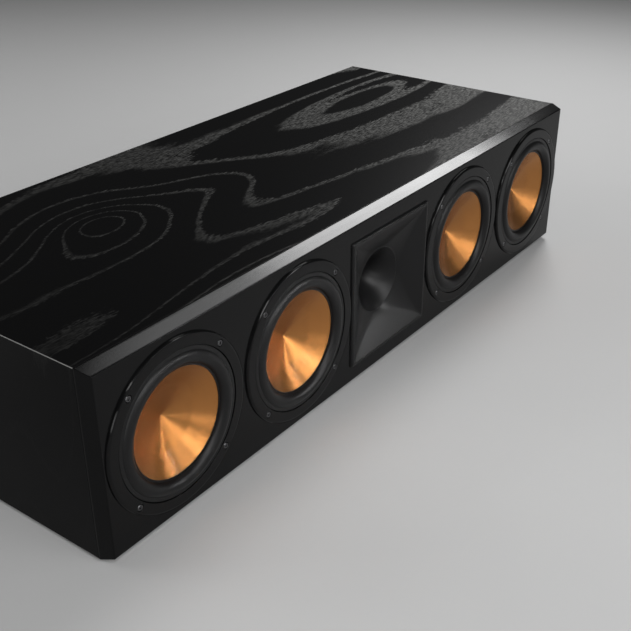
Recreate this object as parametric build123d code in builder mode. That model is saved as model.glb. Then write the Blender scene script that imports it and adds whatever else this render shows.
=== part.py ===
from build123d import *
import os

os.makedirs("parts", exist_ok=True)

# Centre channel speaker, in millimetres. +X is the width, the front faces -Y, +Z is up.
# "Depth" is counted from the front face of the baffle towards the back of the cabinet.

# Row of drivers along the baffle
flange_radius = 96.3
driver_gap = 4.4
horn_side = 166.8
horn_gap = 1.9
end_margin = 7.6
top_margin = 12.2

# Cabinet boards
wall = 19.0
cabinet_depth = 391.0
cabinet_edge_round = 1.0
baffle_thickness = 18.0
bevel_depth = 16.0
bevel_inset = 5.0
baffle_edge_round = 1.2
rear_thickness = 18.0
rear_inset = 3.0
brace_thickness = 15.0
brace_rail = 32.0
brace_corner = 14.0
foot_radius = 12.0
foot_height = 4.0
foot_round = 1.0
foot_inset = 45.0

# Wood screws
screw_radius = 2.0
screw_head_radius = 3.5
screw_head_height = 1.6
screw_length = 15.5
screw_clearance = 0.1
head_clearance = 0.4
head_recess = 1.8

# Woofer frame
flange_proud = 3.0
flange_bevel = 1.5
screw_circle = 88.7
screws_per_woofer = 4
first_screw_angle = 45.0
landing_radius = 82.3
shelf_radius = 83.0
shelf_thickness = 3.5
cutout_clearance = 0.5
neck_radius = 79.5
neck_wall = 3.0
neck_depth = 22.0
ledge_depth = 47.0
ledge_thickness = 3.0
ledge_width = 5.0
base_radius = 52.0
base_wall = 4.0
base_room = 6.0
base_opening = 20.0
spokes = 6
window_width = 48.0
window_margin = 2.5

# Woofer surround, cone, dust cap and voice coil
roll_crest = 5.5
roll_thickness = 1.2
roll_gap = 0.8
surround_lip = 4.5
surround_lip_height = 2.2
cone_radius = 60.0
cone_rim = 3.5
cone_edge_depth = 2.0
cone_neck_depth = 29.5
cone_thickness = 0.8
inner_lip = 2.0
inner_lip_height = 1.0
cap_radius = 38.0
cap_depth = 10.0
cap_thickness = 0.8
former_radius = 16.5
former_wall = 0.5
former_tail = 1.5
winding_thickness = 0.6
winding_height = 14.0
spider_thickness = 0.6
spider_height = 1.6
spider_waves = 4
spider_landing = 4.0
soft_gap = 0.3

# Woofer motor
gap_clearance = 0.5
plate_radius = 44.0
top_plate_thickness = 6.0
magnet_radius = 46.0
magnet_bore = 24.0
magnet_thickness = 18.0
back_plate_thickness = 6.0
pole_clearance = 0.6
pole_rise = 2.0

# Horn and its compression driver
horn_proud = 3.0
horn_corner = 2.0
horn_edge_round = 1.0
horn_seat = 7.0
horn_body_corner = 9.0
rim_width = 2.5
mouth_corner = 2.5
mouth_flare = 9.0
bell_radius = 43.0
bell_depth = 17.0
bell_lip = 0.8
bell_flat = 1.5
throat_radius = 12.7
throat_depth = 75.0
horn_wall = 3.5
horn_cutout_clearance = 0.5
driver_radius = 38.0
throat_flange = 6.0
front_plate_thickness = 8.0
dome_radius = 21.5
dome_height = 3.0
dome_thickness = 0.4
dome_rim = 5.5
driver_magnet_bore = 23.0
driver_magnet_thickness = 17.0
rear_cover_height = 16.0
rear_cover_wall = 2.5

# Rear ports
port_x = 190.0
port_bore = 31.0
port_wall = 2.5
port_length = 130.0
port_flare = 14.0
port_rim = 7.0
port_clearance = 0.5

# Terminal cup and binding posts
cup_width = 112.0
cup_height = 86.0
cup_corner = 8.0
cup_flange_width = 14.0
cup_depth = 32.0
cup_wall = 3.0
cup_clearance = 0.5
post_spacing = 19.05
post_radius = 3.0
post_running_gap = 0.08
post_shoulder_radius = 7.0
post_shoulder_height = 3.0
post_length = 20.0
post_tail = 16.0
post_nut_radius = 6.0
post_nut_height = 5.0
socket_radius = 2.0
socket_depth = 20.0
washer_radius = 6.5
washer_height = 2.0
hub_wall = 1.0
hub_inset = 3.0
cap_nut_radius = 7.5
cap_nut_height = 19.0
cap_flutes = 12
flute_radius = 1.0

# Crossover
board_width = 150.0
board_length = 90.0
board_thickness = 1.6
board_corner = 3.0
board_depth = 250.0
spacer_radius = 4.0
spacer_height = 5.0
spacer_inset = 8.0
coil_radius = 22.0
coil_bore = 10.0
coil_height = 18.0
capacitor_radius = 9.0
capacitor_length = 36.0
resistor_length = 48.0
resistor_side = 10.0
component_gap = 6.0

# Places worked out from the sizes above
inner_x = horn_side / 2 + horn_gap + flange_radius
outer_x = inner_x + 2 * flange_radius + driver_gap
woofer_places = (-outer_x, -inner_x, inner_x, outer_x)
cabinet_width = 2 * (outer_x + flange_radius + end_margin)
cabinet_height = 2 * (flange_radius + top_margin)
inside_width = cabinet_width - 2 * wall
inside_height = cabinet_height - 2 * wall
centre_z = foot_height + cabinet_height / 2
front_y = -(cabinet_depth - roll_crest) / 2
rear_face = cabinet_depth - rear_inset
inside_depth = rear_face - rear_thickness
cutout_radius = shelf_radius + cutout_clearance
horn_body = horn_side - 2 * horn_seat
horn_opening = horn_body + 2 * horn_cutout_clearance
base_front = ledge_depth + ledge_thickness + base_room
base_depth = base_front + base_wall
top_plate_back = base_depth + top_plate_thickness
magnet_back = top_plate_back + magnet_thickness
cup_mouth = rear_face + cup_wall
cup_floor = cup_mouth - cup_depth


def across(depth, x=0.0):
    """Plane facing the front at a depth: local X is the width, local Y is up."""
    return Plane((x, front_y + depth, centre_z), x_dir=(1, 0, 0), z_dir=(0, -1, 0))


def section(x=0.0):
    """Plane through a driver's axis: local X is the radius, local Y is the depth."""
    return Plane((x, front_y, centre_z))


def axis_at(x=0.0):
    """Axis of a driver, along the depth."""
    return Axis((x, front_y, centre_z), (0, 1, 0))


def save(part, label):
    """Label a finished piece and write its STEP file."""
    part.label = label
    export_step(part, f"parts/{label}.step")


# Cabinet: the folded wrap of top, bottom and sides
with BuildPart() as cabinet_wrap:
    with BuildSketch(across(baffle_thickness)):
        Rectangle(cabinet_width, cabinet_height)
        Rectangle(inside_width, inside_height, mode=Mode.SUBTRACT)
    extrude(amount=-(cabinet_depth - baffle_thickness))
    long_edges = cabinet_wrap.edges().filter_by(Axis.Y)
    fillet(long_edges.sort_by(lambda e: abs(e.center().X))[-4:], radius=cabinet_edge_round)
save(cabinet_wrap.part, "cabinet_wrap")

# Cabinet: the bevelled front baffle with its cut-outs and screw pilots
with BuildPart() as front_baffle:
    with BuildSketch(across(baffle_thickness)):
        Rectangle(cabinet_width, cabinet_height)
    extrude(amount=baffle_thickness - bevel_depth)
    with BuildSketch(across(bevel_depth)):
        Rectangle(cabinet_width, cabinet_height)
    with BuildSketch(across(0)):
        Rectangle(cabinet_width - 2 * bevel_inset, cabinet_height - 2 * bevel_inset)
    loft()
    fillet(front_baffle.faces().sort_by(Axis.Y)[0].edges(), radius=baffle_edge_round)
    with BuildSketch(across(0)):
        with Locations(*[(x, 0) for x in woofer_places]):
            Circle(cutout_radius)
            with PolarLocations(screw_circle, screws_per_woofer, first_screw_angle):
                Circle(screw_radius + screw_clearance)
        RectangleRounded(horn_opening, horn_opening, horn_body_corner)
    extrude(amount=-baffle_thickness, mode=Mode.SUBTRACT)
save(front_baffle.part, "front_baffle")

# Cabinet: the rear panel with the port, terminal cup and screw holes
cup_body_width = cup_width - 2 * cup_flange_width
cup_body_height = cup_height - 2 * cup_flange_width
cup_screw_spacing_x = cup_width - cup_flange_width
cup_screw_spacing_z = cup_height - cup_flange_width
port_hole_radius = port_bore + port_flare + port_wall + port_clearance
with BuildPart() as rear_panel:
    with BuildSketch(across(rear_face)):
        Rectangle(inside_width, inside_height)
        with Locations((-port_x, 0), (port_x, 0)):
            Circle(port_hole_radius, mode=Mode.SUBTRACT)
        RectangleRounded(
            cup_body_width + 2 * cup_clearance,
            cup_body_height + 2 * cup_clearance,
            cup_corner,
            mode=Mode.SUBTRACT,
        )
        with GridLocations(cup_screw_spacing_x, cup_screw_spacing_z, 2, 2):
            Circle(screw_radius + screw_clearance, mode=Mode.SUBTRACT)
    extrude(amount=rear_thickness)
save(rear_panel.part, "rear_panel")

# Cabinet: window braces halfway between the woofers of each pair
brace_length = inside_depth - baffle_thickness
brace_window_length = (brace_length - 3 * brace_rail) / 2
brace_window_height = inside_height - 2 * brace_rail
for side, name in ((-1, "left"), (1, "right")):
    brace_x = side * (inner_x + outer_x) / 2
    brace_middle = front_y + baffle_thickness + brace_length / 2
    with BuildPart() as brace:
        with BuildSketch(Plane((brace_x, brace_middle, centre_z), x_dir=(0, 1, 0), z_dir=(1, 0, 0))):
            Rectangle(brace_length, inside_height)
            with GridLocations(brace_window_length + brace_rail, 0, 2, 1):
                RectangleRounded(brace_window_length, brace_window_height, brace_corner, mode=Mode.SUBTRACT)
        extrude(amount=brace_thickness / 2, both=True)
    save(brace.part, f"brace_{name}")

# Cabinet: low rubber feet
with BuildPart() as feet:
    with BuildSketch(Plane((0, front_y + cabinet_depth / 2, 0))):
        with GridLocations(cabinet_width - 2 * foot_inset, cabinet_depth - 2 * foot_inset, 2, 2):
            Circle(foot_radius)
    extrude(amount=foot_height)
    fillet(feet.edges().group_by(Axis.Z)[0], radius=foot_round)
save(feet.part, "feet")

# Woofers: four alike
coil_radius_outer = former_radius + winding_thickness
window_depth = neck_depth + window_margin
window_length = ledge_depth - window_margin - window_depth
surround_outer = landing_radius - roll_gap
roll_outer = surround_outer - surround_lip
roll_inner = cone_radius + inner_lip
roll_middle = (roll_outer + roll_inner) / 2
cap_edge_depth = cone_edge_depth + (cone_radius - cap_radius) * (
    (cone_neck_depth - cone_edge_depth) / (cone_radius - former_radius)
)
winding_middle = base_depth + top_plate_thickness / 2
spider_outer = base_radius - base_wall - soft_gap
spider_inner = former_radius + soft_gap
spider_wave = (spider_outer - spider_landing - spider_inner) / spider_waves
for number, place in enumerate(woofer_places, start=1):
    woofer = f"woofer_{number}"

    # Cast frame: flange, shelf, neck, spoked cone, spider ledge and base
    with BuildPart() as basket:
        with BuildSketch(section(place)):
            with BuildLine():
                Polyline(
                    (landing_radius, -flange_proud),
                    (flange_radius - flange_bevel, -flange_proud),
                    (flange_radius, flange_bevel - flange_proud),
                    (flange_radius, 0),
                    (shelf_radius, 0),
                    (shelf_radius, shelf_thickness),
                    (neck_radius, shelf_thickness),
                    (neck_radius, neck_depth),
                    (base_radius, ledge_depth),
                    (base_radius, base_depth),
                    (base_opening, base_depth),
                    (base_opening, base_front),
                    (base_radius - base_wall, base_front),
                    (base_radius - base_wall, ledge_depth + ledge_thickness),
                    (base_radius - base_wall - ledge_width, ledge_depth + ledge_thickness),
                    (base_radius - base_wall - ledge_width, ledge_depth),
                    (base_radius - base_wall, ledge_depth),
                    (neck_radius - neck_wall, neck_depth - neck_wall),
                    (neck_radius - neck_wall, 0),
                    (landing_radius, 0),
                    close=True,
                )
            make_face()
        revolve(axis=axis_at(place))
        with BuildSketch(across(window_depth, place)):
            with PolarLocations((neck_radius + base_radius) / 2, spokes):
                Rectangle(neck_radius, window_width)
        extrude(amount=-window_length, mode=Mode.SUBTRACT)
        with Locations(across(-flange_proud, place)):
            with PolarLocations(screw_circle, screws_per_woofer, first_screw_angle):
                CounterBoreHole(
                    radius=screw_radius + screw_clearance,
                    counter_bore_radius=screw_head_radius + head_clearance,
                    counter_bore_depth=head_recess,
                    depth=flange_proud,
                )
    save(basket.part, f"{woofer}_basket")

    # Rubber half roll, glued to the shelf outside and to the cone's rim inside
    with BuildPart() as surround:
        with BuildSketch(section(place)):
            with BuildLine():
                lip_front = -surround_lip_height
                inner_front = cone_edge_depth - inner_lip_height
                Polyline(
                    (roll_inner, inner_front),
                    (cone_radius, inner_front),
                    (cone_radius, cone_edge_depth),
                    (roll_inner + roll_thickness, cone_edge_depth),
                )
                ThreePointArc(
                    (roll_inner + roll_thickness, cone_edge_depth),
                    (roll_middle, roll_thickness - roll_crest),
                    (roll_outer - roll_thickness, 0),
                )
                Polyline(
                    (roll_outer - roll_thickness, 0),
                    (surround_outer, 0),
                    (surround_outer, lip_front),
                    (roll_outer, lip_front),
                )
                ThreePointArc((roll_outer, lip_front), (roll_middle, -roll_crest), (roll_inner, inner_front))
            make_face()
        revolve(axis=axis_at(place))
    save(surround.part, f"{woofer}_surround")

    # Spun metal cone with a flat rim under the surround's inner lip
    with BuildPart() as cone:
        with BuildSketch(section(place)):
            with BuildLine():
                Polyline(
                    (cone_radius + cone_rim, cone_edge_depth),
                    (cone_radius, cone_edge_depth),
                    (former_radius, cone_neck_depth),
                    (former_radius, cone_neck_depth + cone_thickness),
                    (cone_radius, cone_edge_depth + cone_thickness),
                    (cone_radius + cone_rim, cone_edge_depth + cone_thickness),
                    close=True,
                )
            make_face()
        revolve(axis=axis_at(place))
    save(cone.part, f"{woofer}_cone")

    # Dished dust cap, its edge on the face of the cone
    with BuildPart() as dust_cap:
        with BuildSketch(section(place)):
            with BuildLine():
                Polyline(
                    (cap_radius, cap_edge_depth),
                    (cap_radius, cap_edge_depth - cap_thickness),
                    (0, cap_edge_depth + cap_depth - cap_thickness),
                    (0, cap_edge_depth + cap_depth),
                    close=True,
                )
            make_face()
        revolve(axis=axis_at(place))
    save(dust_cap.part, f"{woofer}_dust_cap")

    # Voice coil: the former from the cone's neck back, with its winding in the motor's gap
    with BuildPart() as voice_coil:
        with BuildSketch(section(place)):
            with BuildLine():
                former_front = cone_neck_depth - inner_lip
                winding_front = winding_middle - winding_height / 2
                winding_back = winding_middle + winding_height / 2
                former_back = winding_back + former_tail
                Polyline(
                    (former_radius - former_wall, former_front),
                    (former_radius, former_front),
                    (former_radius, winding_front),
                    (coil_radius_outer, winding_front),
                    (coil_radius_outer, winding_back),
                    (former_radius, winding_back),
                    (former_radius, former_back),
                    (former_radius - former_wall, former_back),
                    close=True,
                )
            make_face()
        revolve(axis=axis_at(place))
    save(voice_coil.part, f"{woofer}_voice_coil")

    # Corrugated spider, from the former out to the ledge of the frame
    with BuildPart() as spider:
        with BuildSketch(section(place)):
            with BuildLine():
                back = [(spider_outer, ledge_depth), (spider_outer - spider_landing, ledge_depth)]
                for wave in range(spider_waves):
                    foot = spider_outer - spider_landing - wave * spider_wave
                    back.append((foot - spider_wave / 2, ledge_depth - spider_height))
                    back.append((foot - spider_wave, ledge_depth))
                front = [(radius, depth - spider_thickness) for radius, depth in reversed(back)]
                Polyline(*back, *front, close=True)
            make_face()
        revolve(axis=axis_at(place))
    save(spider.part, f"{woofer}_spider")

    # Motor: top plate, ring magnet and the yoke with its pole
    with BuildPart() as top_plate:
        with BuildSketch(across(base_depth, place)):
            Circle(plate_radius)
            Circle(coil_radius_outer + gap_clearance, mode=Mode.SUBTRACT)
        extrude(amount=-top_plate_thickness)
    save(top_plate.part, f"{woofer}_top_plate")

    with BuildPart() as magnet:
        with BuildSketch(across(top_plate_back, place)):
            Circle(magnet_radius)
            Circle(magnet_bore, mode=Mode.SUBTRACT)
        extrude(amount=-magnet_thickness)
    save(magnet.part, f"{woofer}_magnet")

    with BuildPart() as yoke:
        with BuildSketch(across(magnet_back, place)):
            Circle(plate_radius)
        extrude(amount=-back_plate_thickness)
        with BuildSketch(across(magnet_back, place)):
            Circle(former_radius - former_wall - pole_clearance)
        extrude(amount=magnet_back - base_depth + pole_rise)
    save(yoke.part, f"{woofer}_yoke")

# Horn: square mouth that flares into a round bell, then narrows to the throat
mouth_side = horn_side - 2 * rim_width
flare_side = mouth_side - 2 * mouth_flare
middle_side = (flare_side + 2 * bell_radius) / 2
flare_corner = mouth_corner + mouth_flare
middle_corner = (flare_corner + bell_radius) / 2
bell_side = 2 * bell_radius
shell_side = bell_side + 2 * horn_wall
throat_front = throat_depth - throat_flange
with BuildPart() as horn:
    with BuildSketch(across(0)):
        RectangleRounded(horn_side, horn_side, horn_corner)
    extrude(amount=horn_proud)
    fillet(horn.faces().sort_by(Axis.Y)[0].edges(), radius=horn_edge_round)
    with BuildSketch(across(0)):
        RectangleRounded(horn_body, horn_body, horn_body_corner)
    with BuildSketch(across(bell_depth + horn_wall)):
        RectangleRounded(shell_side, shell_side, shell_side / 2 - bell_flat)
    loft(ruled=True)
    with BuildSketch(section()):
        with BuildLine():
            Polyline(
                (0, bell_depth + horn_wall),
                (bell_radius + horn_wall, bell_depth + horn_wall),
                (throat_radius + 2 * horn_wall, throat_front),
                (driver_radius, throat_front),
                (driver_radius, throat_depth),
                (0, throat_depth),
                close=True,
            )
        make_face()
    revolve(axis=axis_at())
    with BuildSketch(across(-horn_proud)):
        RectangleRounded(mouth_side, mouth_side, mouth_corner)
    with BuildSketch(across(0)):
        RectangleRounded(flare_side, flare_side, flare_corner)
    with BuildSketch(across(bell_depth / 2)):
        RectangleRounded(middle_side, middle_side, middle_corner)
    with BuildSketch(across(bell_depth)):
        RectangleRounded(bell_side, bell_side, bell_radius - bell_flat)
    loft(mode=Mode.SUBTRACT)
    with BuildSketch(section()):
        with BuildLine():
            Polyline((0, throat_depth), (0, bell_depth), (bell_radius - bell_lip, bell_depth))
            throat_bend = ((bell_radius + throat_radius) / 2 - horn_wall, (bell_depth + throat_depth) / 2)
            ThreePointArc((bell_radius - bell_lip, bell_depth), throat_bend, (throat_radius, throat_depth))
            Line((throat_radius, throat_depth), (0, throat_depth))
        make_face()
    revolve(axis=axis_at(), mode=Mode.SUBTRACT)
save(horn.part, "horn")

# Compression driver: front plate, dome, magnet and rear cover, stacked on the throat flange
front_plate_back = throat_depth + front_plate_thickness
rim_back = front_plate_back + dome_thickness
driver_magnet_back = rim_back + driver_magnet_thickness
dome_sphere = (dome_radius**2 + dome_height**2) / (2 * dome_height)
with BuildPart() as tweeter_front_plate:
    with BuildSketch(section()):
        with BuildLine():
            Polyline(
                (throat_radius, throat_depth),
                (driver_radius, throat_depth),
                (driver_radius, front_plate_back),
                (dome_radius, front_plate_back),
                (throat_radius, front_plate_back - dome_height - dome_thickness),
                close=True,
            )
        make_face()
    revolve(axis=axis_at())
save(tweeter_front_plate.part, "tweeter_front_plate")

with BuildPart() as tweeter_diaphragm:
    with BuildSketch(section()):
        with BuildLine():
            dome_top = front_plate_back - dome_height
            RadiusArc((0, dome_top), (dome_radius, front_plate_back), -dome_sphere)
            Polyline(
                (dome_radius, front_plate_back),
                (dome_radius + dome_rim, front_plate_back),
                (dome_radius + dome_rim, rim_back),
                (dome_radius, rim_back),
            )
            RadiusArc((0, dome_top + dome_thickness), (dome_radius, rim_back), -dome_sphere)
            Line((0, dome_top + dome_thickness), (0, dome_top))
        make_face()
    revolve(axis=axis_at())
save(tweeter_diaphragm.part, "tweeter_diaphragm")

with BuildPart() as tweeter_magnet:
    with BuildSketch(across(rim_back)):
        Circle(driver_radius)
        Circle(driver_magnet_bore, mode=Mode.SUBTRACT)
    extrude(amount=-driver_magnet_thickness)
save(tweeter_magnet.part, "tweeter_magnet")

with BuildPart() as tweeter_rear_cover:
    with BuildSketch(across(driver_magnet_back)):
        Circle(driver_radius)
    extrude(amount=-rear_cover_height)
    with BuildSketch(across(driver_magnet_back)):
        Circle(driver_radius - rear_cover_wall)
    extrude(amount=rear_cover_wall - rear_cover_height, mode=Mode.SUBTRACT)
save(tweeter_rear_cover.part, "tweeter_rear_cover")

# Rear ports: tube with a flared mouth and a thin rim on the rear panel
port_mouth = rear_face + cup_wall
port_end = port_mouth - port_length
flare_radius = port_bore + port_flare
for side, name in ((-1, "left"), (1, "right")):
    with BuildPart() as port:
        with BuildSketch(section(side * port_x)):
            with BuildLine():
                CenterArc((flare_radius, port_mouth - port_flare), port_flare, 90, 90)
                Polyline(
                    (flare_radius, port_mouth),
                    (flare_radius + port_rim, port_mouth),
                    (flare_radius + port_rim, rear_face),
                    (flare_radius + port_wall, rear_face),
                )
                CenterArc((flare_radius + port_wall, rear_face - port_flare), port_flare, 90, 90)
                Polyline(
                    (port_bore + port_wall, rear_face - port_flare),
                    (port_bore + port_wall, port_end),
                    (port_bore, port_end),
                    (port_bore, port_mouth - port_flare),
                )
            make_face()
        revolve(axis=axis_at(side * port_x))
    save(port.part, f"port_{name}")

# Terminal cup: a moulded tray in the rear panel
with BuildPart() as terminal_cup:
    with BuildSketch(across(rear_face)):
        RectangleRounded(cup_width, cup_height, cup_corner)
    extrude(amount=-cup_wall)
    with BuildSketch(across(rear_face)):
        RectangleRounded(cup_body_width, cup_body_height, cup_corner)
    extrude(amount=rear_face - cup_floor + cup_wall)
    with BuildSketch(across(cup_mouth)):
        RectangleRounded(cup_body_width - 2 * cup_wall, cup_body_height - 2 * cup_wall, cup_corner - cup_wall)
    extrude(amount=cup_depth, mode=Mode.SUBTRACT)
    with BuildSketch(across(cup_floor)):
        with GridLocations(post_spacing, 0, 2, 1):
            Circle(post_radius + screw_clearance)
    extrude(amount=cup_wall, mode=Mode.SUBTRACT)
    with Locations(Plane((0, front_y + cup_mouth, centre_z), x_dir=(1, 0, 0), z_dir=(0, 1, 0))):
        with GridLocations(cup_screw_spacing_x, cup_screw_spacing_z, 2, 2):
            CounterBoreHole(
                radius=screw_radius + screw_clearance,
                counter_bore_radius=screw_head_radius + head_clearance,
                counter_bore_depth=head_recess,
                depth=cup_wall,
            )
save(terminal_cup.part, "terminal_cup")

# Binding posts: studs with a shoulder, a lock nut inside and a plug socket outside
shoulder_face = cup_floor + post_shoulder_height
with BuildPart() as binding_posts:
    for side in (-1, 1):
        with BuildSketch(section(side * post_spacing / 2)):
            with BuildLine():
                post_end = shoulder_face + post_length
                nut_back = cup_floor - cup_wall
                Polyline(
                    (0, nut_back - post_tail),
                    (post_radius, nut_back - post_tail),
                    (post_radius, nut_back - post_nut_height),
                    (post_nut_radius, nut_back - post_nut_height),
                    (post_nut_radius, nut_back),
                    (post_radius, nut_back),
                    (post_radius, cup_floor),
                    (post_shoulder_radius, cup_floor),
                    (post_shoulder_radius, shoulder_face),
                    (post_radius, shoulder_face),
                    (post_radius, post_end),
                    (socket_radius, post_end),
                    (socket_radius, post_end - socket_depth),
                    (0, post_end - socket_depth),
                    close=True,
                )
            make_face()
        revolve(axis=axis_at(side * post_spacing / 2))
save(binding_posts.part, "binding_posts")

# Binding posts: clamp washers with a hub, and the fluted caps that turn on the hubs
cap_face = shoulder_face + washer_height
hub_bore = post_radius + post_running_gap
hub_radius = hub_bore + hub_wall
for side, name in ((-1, "left"), (1, "right")):
    with BuildPart() as washer:
        with BuildSketch(across(shoulder_face, side * post_spacing / 2)):
            Circle(washer_radius)
            Circle(hub_bore, mode=Mode.SUBTRACT)
        extrude(amount=-washer_height)
        with BuildSketch(across(cap_face, side * post_spacing / 2)):
            Circle(hub_radius)
            Circle(hub_bore, mode=Mode.SUBTRACT)
        extrude(amount=hub_inset - cap_nut_height)
    save(washer.part, f"post_{name}_washer")

    with BuildPart() as post_cap:
        with BuildSketch(across(cap_face, side * post_spacing / 2)):
            Circle(cap_nut_radius)
            Circle(hub_radius + post_running_gap, mode=Mode.SUBTRACT)
            with PolarLocations(cap_nut_radius, cap_flutes):
                Circle(flute_radius, mode=Mode.SUBTRACT)
        extrude(amount=-cap_nut_height)
    save(post_cap.part, f"post_{name}_cap")

# Wood screws: round heads let into the woofer flanges and the terminal cup
with BuildPart() as panel_screws:
    woofer_head_seat = head_recess - flange_proud
    for place in woofer_places:
        with BuildSketch(across(woofer_head_seat, place)):
            with PolarLocations(screw_circle, screws_per_woofer, first_screw_angle):
                Circle(screw_head_radius)
        extrude(amount=screw_head_height)
        with BuildSketch(across(woofer_head_seat, place)):
            with PolarLocations(screw_circle, screws_per_woofer, first_screw_angle):
                Circle(screw_radius)
        extrude(amount=-screw_length)
    cup_head_seat = cup_mouth - head_recess
    with BuildSketch(across(cup_head_seat)):
        with GridLocations(cup_screw_spacing_x, cup_screw_spacing_z, 2, 2):
            Circle(screw_head_radius)
    extrude(amount=-screw_head_height)
    with BuildSketch(across(cup_head_seat)):
        with GridLocations(cup_screw_spacing_x, cup_screw_spacing_z, 2, 2):
            Circle(screw_radius)
    extrude(amount=screw_length)
save(panel_screws.part, "panel_screws")

# Crossover: board on spacers over the bottom panel, with its coils, capacitors and resistors
floor_z = foot_height + wall
board_top = floor_z + spacer_height + board_thickness
board_middle = front_y + board_depth
with BuildPart() as crossover_board:
    with BuildSketch(Plane((0, board_middle, floor_z + spacer_height))):
        RectangleRounded(board_width, board_length, board_corner)
    extrude(amount=board_thickness)
    with BuildSketch(Plane((0, board_middle, floor_z))):
        with GridLocations(board_width - 2 * spacer_inset, board_length - 2 * spacer_inset, 2, 2):
            Circle(spacer_radius)
    extrude(amount=spacer_height)
save(crossover_board.part, "crossover_board")

coil_x = board_width / 2 - coil_radius - component_gap
with BuildPart() as crossover_coils:
    with BuildSketch(Plane((0, board_middle, board_top))):
        with Locations((-coil_x, 0), (coil_x, 0)):
            Circle(coil_radius)
            Circle(coil_bore, mode=Mode.SUBTRACT)
    extrude(amount=coil_height)
save(crossover_coils.part, "crossover_coils")

capacitor_places = (-capacitor_radius - component_gap / 2, capacitor_radius + component_gap / 2)
with BuildPart() as crossover_capacitors:
    for offset_x in capacitor_places:
        capacitor_end = board_middle - component_gap / 2
        capacitor_base = (offset_x, capacitor_end, board_top + capacitor_radius)
        with BuildSketch(Plane(capacitor_base, x_dir=(1, 0, 0), z_dir=(0, -1, 0))):
            Circle(capacitor_radius)
        extrude(amount=capacitor_length)
save(crossover_capacitors.part, "crossover_capacitors")

with BuildPart() as crossover_resistors:
    resistor_y = board_middle + component_gap + resistor_side / 2
    with BuildSketch(Plane((0, resistor_y + resistor_side / 2, board_top))):
        with GridLocations(0, resistor_side + component_gap, 1, 2):
            Rectangle(resistor_length, resistor_side)
    extrude(amount=resistor_side)
save(crossover_resistors.part, "crossover_resistors")
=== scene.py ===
"""Looks of a centre channel speaker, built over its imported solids.

Lengths are in metres, in the frame of the solids: X is the width, the drivers face -Y and Z is up.
A depth is counted from the front face of the baffle towards the back of the cabinet.
"""

import logging
import math
from collections.abc import Callable
from dataclasses import dataclass, field
from enum import Enum

import bmesh
import bpy
from mathutils import Euler, Matrix, Vector


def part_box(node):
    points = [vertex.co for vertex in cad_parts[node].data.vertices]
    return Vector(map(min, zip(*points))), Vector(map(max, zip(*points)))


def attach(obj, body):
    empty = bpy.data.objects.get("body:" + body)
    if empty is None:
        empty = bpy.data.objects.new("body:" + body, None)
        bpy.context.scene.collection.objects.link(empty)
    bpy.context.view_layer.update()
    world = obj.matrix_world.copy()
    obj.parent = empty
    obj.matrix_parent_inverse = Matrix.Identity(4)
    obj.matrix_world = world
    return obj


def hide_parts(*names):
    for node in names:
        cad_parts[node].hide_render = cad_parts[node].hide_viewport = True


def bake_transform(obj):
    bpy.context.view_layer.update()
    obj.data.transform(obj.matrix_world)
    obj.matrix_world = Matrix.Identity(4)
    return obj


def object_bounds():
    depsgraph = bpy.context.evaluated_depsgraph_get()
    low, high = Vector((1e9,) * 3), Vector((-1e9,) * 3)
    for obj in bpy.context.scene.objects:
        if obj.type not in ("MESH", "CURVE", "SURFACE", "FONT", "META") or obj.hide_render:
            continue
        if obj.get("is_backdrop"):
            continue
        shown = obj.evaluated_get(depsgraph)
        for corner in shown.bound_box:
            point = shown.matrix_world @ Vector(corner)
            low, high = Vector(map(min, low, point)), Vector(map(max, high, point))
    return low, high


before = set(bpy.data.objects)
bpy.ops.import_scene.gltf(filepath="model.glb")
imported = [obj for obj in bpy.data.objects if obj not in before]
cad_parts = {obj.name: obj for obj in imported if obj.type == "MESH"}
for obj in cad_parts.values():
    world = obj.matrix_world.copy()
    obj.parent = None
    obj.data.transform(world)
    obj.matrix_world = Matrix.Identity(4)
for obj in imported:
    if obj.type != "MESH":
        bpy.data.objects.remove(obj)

log = logging.getLogger("speaker")

MM = 0.001
PHOTO_SIDE = 631
SENSOR_WIDTH = 36.0
CAD_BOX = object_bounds()
SHARP_ANGLE = 32.0
EASING_STEPS = 3
WELD_DISTANCE = 0.001 * MM
AXIS_RADIUS = 1e-7
WOOFERS = range(1, 5)

Colour = tuple[float, float, float]
Profile = list[tuple[float, float]]


def scaled(colour: Colour, factor: float) -> Colour:
    """Multiply each part of a colour."""
    return tuple(part * factor for part in colour)


class Body(str, Enum):
    """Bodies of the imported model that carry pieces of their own."""

    CABINET = "cabinet"
    LEFT_CLAMP = "post_left_clamp"
    RIGHT_CLAMP = "post_right_clamp"
    LEFT_KNOB = "post_left_knob"
    RIGHT_KNOB = "post_right_knob"


class Facing(Enum):
    """Which way the head of a screw looks."""

    FRONT = (0.0, -1.0, 0.0)
    BACK = (0.0, 1.0, 0.0)


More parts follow.
